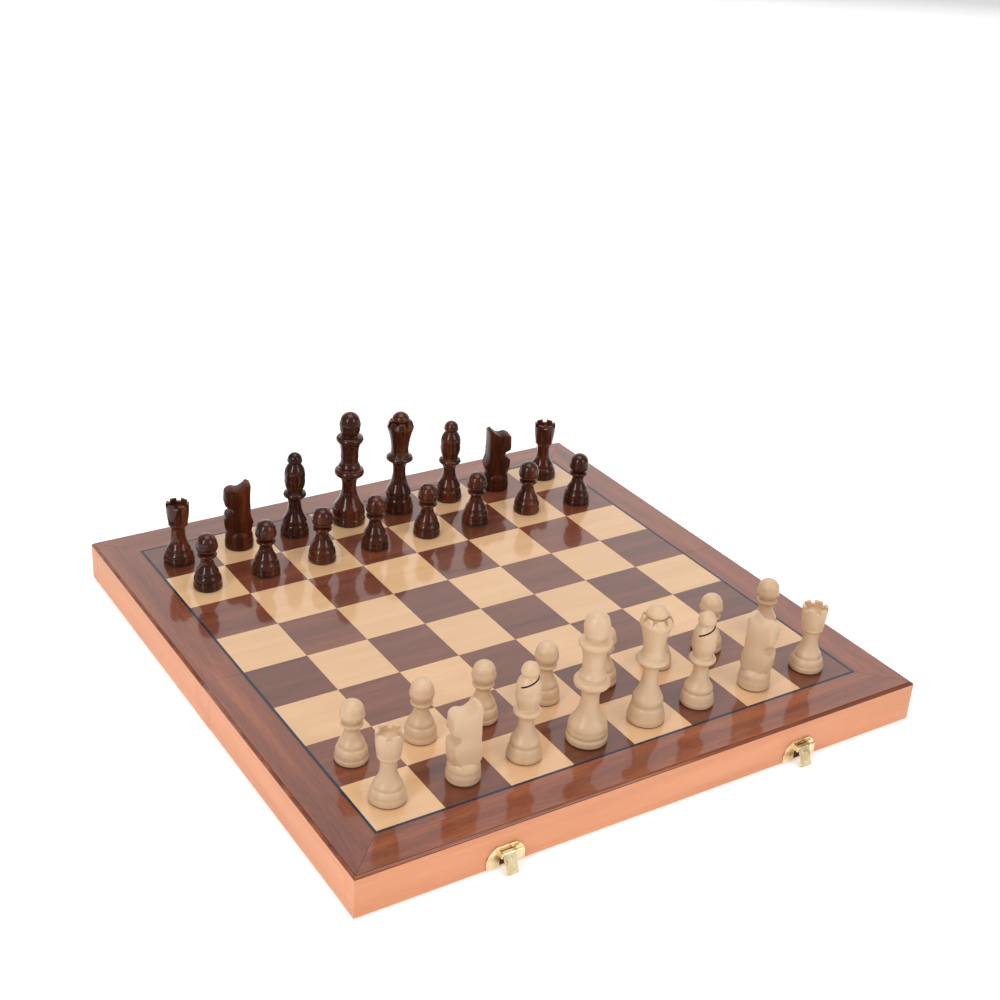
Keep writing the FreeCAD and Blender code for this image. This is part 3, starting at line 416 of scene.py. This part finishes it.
def outline(rows, kind, closed=False):
    height, base = (size * MM for size in KINDS[kind])
    corners = [Vector((base / 2 * across, height * up)) for across, up, _ in rows]
    points = [] if closed else [corners[0]]
    for index in range(0 if closed else 1, len(rows)):
        points += arc_points(corners[index - 1], corners[index], rows[index][2])
    return points


def eased(points, reach):
    """Take the corners off an outline, as lacquer and sanding do: each corner becomes two points."""
    made = [points[0]]
    for before, here, after in zip(points, points[1:], points[2:]):
        back = before - here
        ahead = after - here
        made.append(here + back * min(0.5, reach / max(back.length, 1e-9)))
        made.append(here + ahead * min(0.5, reach / max(ahead.length, 1e-9)))
    return made + [points[-1]]


def spun(rows, kind, ease=TURNED_EASE):
    """Closed turned solid about Z."""
    bm = bmesh.new()
    points = eased([Vector((0, rows[0][1] * KINDS[kind][0] * MM))] + outline(rows, kind), ease)
    verts = [bm.verts.new((point.x, 0, point.y)) for point in points]
    edges = [bm.edges.new(pair) for pair in zip(verts, verts[1:])]
    bmesh.ops.spin(bm, geom=verts + edges, cent=(0, 0, 0), axis=(0, 0, 1), dvec=(0, 0, 0), angle=2 * math.pi,
                   steps=SPIN_STEPS, use_merge=True, use_normal_flip=False, use_duplicate=False)
    bmesh.ops.remove_doubles(bm, verts=bm.verts, dist=HAIR)
    bmesh.ops.recalc_face_normals(bm, faces=bm.faces)
    return bm


def carve(bm, tool, operation):
    """Boolean of two bmeshes, as a new bmesh."""
    base = object_from("carving_base", bm)
    cutter = object_from("carving_tool", tool)
    boolean = base.modifiers.new("carve", "BOOLEAN")
    boolean.object = cutter
    boolean.operation = operation
    boolean.solver = "EXACT"
    bpy.context.view_layer.update()
    carved = bpy.data.meshes.new_from_object(base.evaluated_get(bpy.context.evaluated_depsgraph_get()))
    for used in (base, cutter):
        bpy.data.objects.remove(used)
    made = bmesh.new()
    made.from_mesh(carved)
    bpy.data.meshes.remove(carved)
    bmesh.ops.remove_doubles(made, verts=made.verts, dist=2 * HAIR)
    return made


def block(low, high):
    bm = bmesh.new()
    bmesh.ops.create_cube(bm, size=1.0)
    bmesh.ops.scale(bm, vec=Vector(high) - Vector(low), verts=bm.verts)
    bmesh.ops.translate(bm, vec=(Vector(high) + Vector(low)) / 2, verts=bm.verts)
    return bm


def add(bm, other):
    """Join another bmesh into the first."""
    mesh = bpy.data.meshes.new("joining")
    other.to_mesh(mesh)
    other.free()
    bm.from_mesh(mesh)
    bpy.data.meshes.remove(mesh)
    return bm


def slots(count, low, high, width):
    """Ring of cutters: each spans low to high along X and Z, and is width thick."""
    bm = bmesh.new()
    for index in range(count):
        tool = block((low[0], -width / 2, low[1]), (high[0], width / 2, high[1]))
        bmesh.ops.rotate(tool, verts=tool.verts, cent=(0, 0, 0), matrix=Matrix.Rotation(
            2 * math.pi * index / count, 3, "Z"))
        add(bm, tool)
    return bm


def rook():
    height, base = (size * MM for size in KINDS["rook"])
    gaps = slots(6, (0.2 * base, 0.95 * height), (0.5 * base, 1.1 * height), 0.14 * base)
    return carve(spun(TURNED["rook"], "rook"), gaps, "DIFFERENCE")


def queen():
    """Eight notches slope down and outwards through the crown's rim."""
    height, base = (size * MM for size in KINDS["queen"])
    gaps = slots(8, (0.29 * base, 0.0), (0.5 * base, 0.1 * height), 0.12 * base)
    for vert in gaps.verts:
        reach = Vector((vert.co.x, vert.co.y)).length
        vert.co.z += 0.89 * height - 0.7 * (reach - 0.29 * base)
    return carve(spun(TURNED["queen"], "queen"), gaps, "DIFFERENCE")


def bishop():
    """The mitre's slit rises towards +X; its faces inside get dark wood, painted shade for the shadow in the
    narrow slit.
    """
    height, base = (size * MM for size in KINDS["bishop"])
    centre = Vector((0, 0, 0.815 * height))
    slit = block((-0.25 * base, -base, -SLIT_HALF * height), (0.8 * base, base, SLIT_HALF * height))
    lean = Matrix.Rotation(-SLIT_RISE, 3, "Y")
    bmesh.ops.rotate(slit, verts=slit.verts, cent=(0, 0, 0), matrix=lean)
    bmesh.ops.translate(slit, verts=slit.verts, vec=centre)
    carved = carve(spun(TURNED["bishop"], "bishop"), slit, "DIFFERENCE")
    upright = lean @ Vector((0, 0, 1))
    for face in carved.faces:
        off_slit = abs((face.calc_center_median() - centre).dot(upright))
        if off_slit < 1.07 * SLIT_HALF * height and abs(face.normal.dot(upright)) > 0.95:
            # faces inside the slit take the dark wood: painted shade
            face.material_index = 1
    return carved


def horse_slab():
    """Side view of the horse as a slab, thinner at the ears and muzzle than at the shoulder."""
    height, base = (size * MM for size in KINDS["knight"])
    thick = base * HORSE_THICKNESS
    bm = bmesh.new()
    verts = [bm.verts.new((point.x, -thick / 2, point.y)) for point in outline(HORSE, "knight", closed=True)]
    face = bm.faces.new(verts)
    grown = bmesh.ops.extrude_face_region(bm, geom=[face])
    bmesh.ops.translate(bm, vec=(0, thick, 0), verts=[
        item for item in grown["geom"] if isinstance(item, bmesh.types.BMVert)])
    bmesh.ops.recalc_face_normals(bm, faces=bm.faces)
    bmesh.ops.triangulate(bm, faces=bm.faces)
    for vert in bm.verts:
        vert.co.y *= 1.12 - 0.3 * vert.co.z / height
    return bm


def facet(bm, normal, reach):
    """Slice off what lies beyond a plane, and close the cut."""
    normal = Vector(normal).normalized()
    cut = bmesh.ops.bisect_plane(bm, geom=bm.verts[:] + bm.edges[:] + bm.faces[:], dist=HAIR,
                                 plane_co=normal * reach, plane_no=normal, clear_outer=True)
    rim = [item for item in cut["geom_cut"] if isinstance(item, bmesh.types.BMEdge)]
    bmesh.ops.edgeloop_fill(bm, edges=rim)


def knight():
    """Slab and blank where they overlap, with the chest and the muzzle narrowed by knife cuts."""
    carved = carve(horse_slab(), spun(BLANK, "knight", BLANK_EASE), "INTERSECT")
    for side in (-1, 1):
        facet(carved, (0.62, 0.62 * side, -0.25), CHEST_REACH)
        facet(carved, (0.5, 0.85 * side, 0.15), MUZZLE_REACH)
    sharp = [edge for edge in carved.edges if edge.is_manifold and edge.calc_face_angle() > KNIFE_ANGLE]
    bmesh.ops.bevel(carved, geom=sharp, offset=KNIFE_EDGE, offset_type="OFFSET", segments=2, profile=0.5,
                    affect="EDGES", clamp_overlap=True, material=-1)
    return add(carved, spun(TURNED["knight"], "knight"))


CARVED = {"rook": rook, "queen": queen, "bishop": bishop, "knight": knight}


def template(kind):
    """Mesh of one man at the origin, standing on his felt; a king and a pawn come straight off the lathe."""
    bm = CARVED[kind]() if kind in CARVED else spun(TURNED[kind], kind)
    bmesh.ops.translate(bm, vec=(0, 0, FELT_DEPTH), verts=bm.verts)
    mesh = bpy.data.meshes.new(f"{kind}_template")
    bm.to_mesh(mesh)
    bm.free()
    return mesh


def felt_disc(kind):
    """Felt under a man's base; its lower and upper radii are shares of the base's width."""
    lower, upper = (KINDS[kind][1] * MM * share for share in FELT_REACH)
    bm = bmesh.new()
    bmesh.ops.create_cone(bm, cap_ends=True, segments=64, radius1=lower, radius2=upper, depth=FELT_DEPTH)
    bmesh.ops.translate(bm, vec=(0, 0, FELT_DEPTH / 2), verts=bm.verts)
    return bm


def kind_of(node):
    return next(kind for kind in KINDS if kind in node)


def standing(node, middle, low):
    """Upright over a middle, with his felt at the height of low, turned to his heading."""
    return Matrix.Translation((middle.x, middle.y, low.z)) @ Matrix.Rotation(
        math.radians(HEADINGS.get(node, 0)), 4, "Z")


def knight_place(node):
    """A knight's box isn't centred on his foot, so his place comes from his foot's vertices."""
    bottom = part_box(node)[0].z + 1.5 * FELT_DEPTH
    low, high = extent([vert.co for vert in frame["nodes"][node].data.vertices if vert.co.z < bottom])
    return standing(node, (low + high) / 2, low)


def man_place(node):
    """Where a man stands, or lies with his head towards +Y."""
    low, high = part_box(node)
    middle = (low + high) / 2
    if "spare" in node:
        return Matrix.Translation((middle.x, low.y, middle.z)) @ Matrix.Rotation(-math.pi / 2, 4, "X")
    return knight_place(node) if kind_of(node) == "knight" else standing(node, middle, low)


def man_finish(node, kind):
    if node.startswith("white"):
        return PALE_MEN
    return DARK_CARVED if kind == "knight" else DARK_MEN


def make_men():
    templates = {kind: template(kind) for kind in KINDS}
    for node in [name for name in BODY_OF if name.startswith(("white_", "dark_"))]:
        kind = kind_of(node)
        place = man_place(node)
        bm = bmesh.new()
        bm.from_mesh(templates[kind])
        bmesh.ops.transform(bm, matrix=place, verts=bm.verts)
        man = piece_from(f"{node}_wood", bm, man_finish(node, kind), node)
        if kind == "bishop":
            # second slot for the bishop: dark wood as painted shade inside the slit
            man.data.materials.append(PAINTED_SHADE_WOOD)
        smooth(man, 38)
        pad = felt_disc(kind)
        bmesh.ops.transform(pad, matrix=place, verts=pad.verts)
        smooth(piece_from(f"{node}_felt", pad, FELT, node), 38)


# ---------------------------------------------------------------- board and case

SIDES = ("near", "far")
LIP_DEPTH = 1.1 * MM
# height of the painted shadow line under the panel's lip
PAINTED_SHADOW_LINE = 0.35 * MM
PANEL_FINISHES = (PANEL_WOOD, FRAME_WOOD["X"], FRAME_WOOD["Y"], PAINTED_SHADE_WOOD, FELT)


def make_board():
    for side in SIDES:
        reshaped(f"{side}_light_squares", LIGHT_VENEER, 0.06 * MM)
        reshaped(f"{side}_dark_squares", DARK_VENEER, 0.06 * MM)
        reshaped(f"{side}_stringing", INLAY, 0.06 * MM)
        make_panel(side)
        for way, across in (("X", True), ("Y", False)):
            reshaped(f"{side}_border_veneer", BORDER[way], 0.12 * MM, f"{side}_border_along_{way}",
                     lambda centre, size, across=across: (size.x > size.y) == across)


def make_panel(side):
    """Panel with a stained lip, a painted dark shadow line under it where the panel meets the rail, and bare
    wood from there down.
    """
    node = f"{side}_panel"
    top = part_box(node)[1].z
    lip, line = top - LIP_DEPTH, top - LIP_DEPTH - PAINTED_SHADOW_LINE
    bm = merged_copy(node)
    for level in (lip, line):
        bmesh.ops.bisect_plane(bm, geom=bm.verts[:] + bm.edges[:] + bm.faces[:], dist=0.1 * HAIR,
                               plane_co=(0, 0, level), plane_no=(0, 0, 1))
    for face in bm.faces:
        middle = face.calc_center_median().z
        finish = PANEL_WOOD
        if face.normal.z < -0.5:
            finish = FELT
        elif abs(face.normal.z) < 0.5 and middle < lip:
            bare = FRAME_WOOD["X" if abs(face.normal.y) > 0.5 else "Y"]
            # the band between lip and line gets dark wood: painted shadow line along the rail
            finish = PAINTED_SHADE_WOOD if middle > line else bare
        face.material_index = PANEL_FINISHES.index(finish)
    panel = piece_from(f"{node}_finished", bm, PANEL_WOOD, node)
    for finish in PANEL_FINISHES[1:]:
        panel.data.materials.append(finish)
    soften(panel, 0.5 * MM)


def make_case():
    for side in SIDES:
        reshaped(f"{side}_long_rails", FRAME_WOOD["X"], 0.8 * MM)
        reshaped(f"{side}_side_rails", FRAME_WOOD["Y"], 0.4 * MM)
        liner = reshaped(f"{side}_foam", FOAM, 0.7 * MM, f"{side}_foam_liner")


def make_fittings():
    for node, width in (("hinge_leaves_near", 0.15), ("hinge_leaves_far", 0.15), ("hinge_pins", 0.1),
                        ("latch_plates", 0.25), ("latch_pins", 0.15), ("latch_left_flap", 0.25),
                        ("latch_right_flap", 0.25), ("catch_plates", 0.2), ("near_screws", 0.1),
                        ("far_screws", 0.1)):
        reshaped(node, BRASS, width * MM)
    make_latch_details()


def latch_pin_centres():
    """Middle of each latch's pin, left then right."""
    bm = merged_copy("latch_pins")
    middles = []
    for group in islands(bm):
        low, high = extent([vert.co for face in group for vert in face.verts])
        middles.append((low + high) / 2)
    bm.free()
    return sorted(middles, key=lambda middle: middle.x)


PIN_RADIUS = 0.7 * MM
PIN_STANDOFF = 2.0 * MM
SPRING_PIN_RADIUS = 1.15 * PIN_RADIUS
SPRING_PIN_START, SPRING_PIN_END = 4.9 * MM, 9.2 * MM
RECESS = Vector((7.7, 0.12, 7.6)) * MM
RECESS_DROP = 4.2 * MM
FLAP_SWING = math.radians(-22.3)
FLAP_FIELD = Vector((4.7, 0.35, 6.2)) * MM
FLAP_FACE = 1.6 * MM
FLAP_MIDDLE = 5.6 * MM


def centred(size):
    return block(-size / 2, size / 2)


def make_latch_details():
    """On each latch: a spring pin that stands out to the right, a dark sheet of painted shade in the recess
    and a pressed flap field.
    """
    plate_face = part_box("latch_pins")[0].y + PIN_RADIUS + PIN_STANDOFF
    for side, pin in zip(("left", "right"), latch_pin_centres()):
        rod = bmesh.new()
        length = SPRING_PIN_END - SPRING_PIN_START
        bmesh.ops.create_cone(rod, cap_ends=True, segments=32, radius1=SPRING_PIN_RADIUS,
                              radius2=SPRING_PIN_RADIUS, depth=length)
        bmesh.ops.rotate(rod, verts=rod.verts, cent=(0, 0, 0), matrix=Matrix.Rotation(math.pi / 2, 3, "Y"))
        bmesh.ops.translate(rod, verts=rod.verts, vec=pin + Vector((SPRING_PIN_START + length / 2, 0, 0)))
        soften(detail_from(f"latch_{side}_spring_pin", rod, BRASS, "latch_pins"), 0.3 * MM)

        # thin dark brass sheet on the plate: painted shade in the recess behind the flap
        recess = centred(RECESS)
        bmesh.ops.translate(recess, verts=recess.verts,
                            vec=(pin.x, plate_face - RECESS.y / 2, pin.z - RECESS_DROP))
        soften(detail_from(f"latch_{side}_recess", recess, RECESS_SHADE, "latch_plates"), 0.05 * MM)

        field = centred(FLAP_FIELD)
        bmesh.ops.translate(field, verts=field.verts, vec=(0, -FLAP_FACE, -FLAP_MIDDLE))
        bmesh.ops.rotate(field, verts=field.verts, cent=(0, 0, 0), matrix=Matrix.Rotation(FLAP_SWING, 3, "X"))
        bmesh.ops.translate(field, verts=field.verts, vec=pin)
        soften(detail_from(f"latch_{side}_flap_field", field, BRASS, f"latch_{side}_flap"), 0.17 * MM)


# ---------------------------------------------------------------- floor, lights and camera


def make_floor():
    bm = bmesh.new()
    bmesh.ops.create_grid(bm, x_segments=8, y_segments=8, size=20.0)
    bmesh.ops.translate(bm, vec=(0, 0, TABLE), verts=bm.verts)
    floor = object_from("floor", bm)
    finish = Finish("pale_floor", Roughness=0.8, Emission_Color=(1, 1, 1, 1), Emission_Strength=0.4)
    dust = finish.noise(finish.coordinates(), 3, 4)
    floor.data.materials.append(finish.wear(Base_Color=finish.ramp(
        dust, ((0.3, (0.86, 0.86, 0.86)), (0.7, (0.9, 0.9, 0.9))))))


def make_light(name, place, aim, size, watts):
    data = bpy.data.lights.new(name, "AREA")
    data.shape = "RECTANGLE"
    data.size, data.size_y = size
    data.energy = watts
    lamp = bpy.data.objects.new(name, data)
    lamp.location = place
    lamp.rotation_euler = (Vector(aim) - Vector(place)).to_track_quat("-Z", "Y").to_euler()
    bpy.context.scene.collection.objects.link(lamp)


def make_lights():
    world = bpy.data.worlds.new("studio")
    world.use_nodes = True
    world.node_tree.nodes["Background"].inputs["Color"].default_value = (1, 1, 1, 1)
    world.node_tree.nodes["Background"].inputs["Strength"].default_value = 0.3
    bpy.context.scene.world = world
    middle = (0, 0, 0.03)
    make_light("back_wall", (1.35, 1.95, 1.15), (0, 0, 0.2), (5.0, 2.0), 26)
    make_light("left_softbox", (-1.5, -0.6, 0.95), middle, (0.4, 1.2), 13.5)
    make_light("right_softbox", (0.7, -1.6, 1.0), middle, (0.9, 1.2), 10)
    make_light("top_softbox", (0.0, 0.1, 1.9), middle, (1.4, 1.4), 17)


CAMERA_PLACE = Vector((-478.3, -720.4, 541.1)) * MM
CAMERA_AZIMUTH, CAMERA_DROP, CAMERA_ROLL = 32.12, 26.68, 2.95
CAMERA_LENS = 56.6
CAMERA_SHIFT = (0.048, -0.006)


def make_camera():
    azimuth, drop = math.radians(CAMERA_AZIMUTH), math.radians(CAMERA_DROP)
    look = Vector((math.sin(azimuth) * math.cos(drop), math.cos(azimuth) * math.cos(drop), -math.sin(drop)))
    data = bpy.data.cameras.new("camera")
    data.lens = CAMERA_LENS
    data.sensor_width = 36.0
    data.shift_x, data.shift_y = CAMERA_SHIFT
    data.clip_start = 0.01
    data.clip_end = 50.0
    camera = bpy.data.objects.new("camera", data)
    turn = look.to_track_quat("-Z", "Y").to_matrix().to_4x4()
    camera.matrix_world = Matrix.Translation(CAMERA_PLACE) @ turn @ Matrix.Rotation(
        math.radians(CAMERA_ROLL), 4, "Z")
    bpy.context.scene.collection.objects.link(camera)
    bpy.context.scene.camera = camera
    bpy.context.scene.view_settings.view_transform = "Standard"


make_camera()
make_lights()
make_floor()
make_board()
make_case()
make_fittings()
make_men()
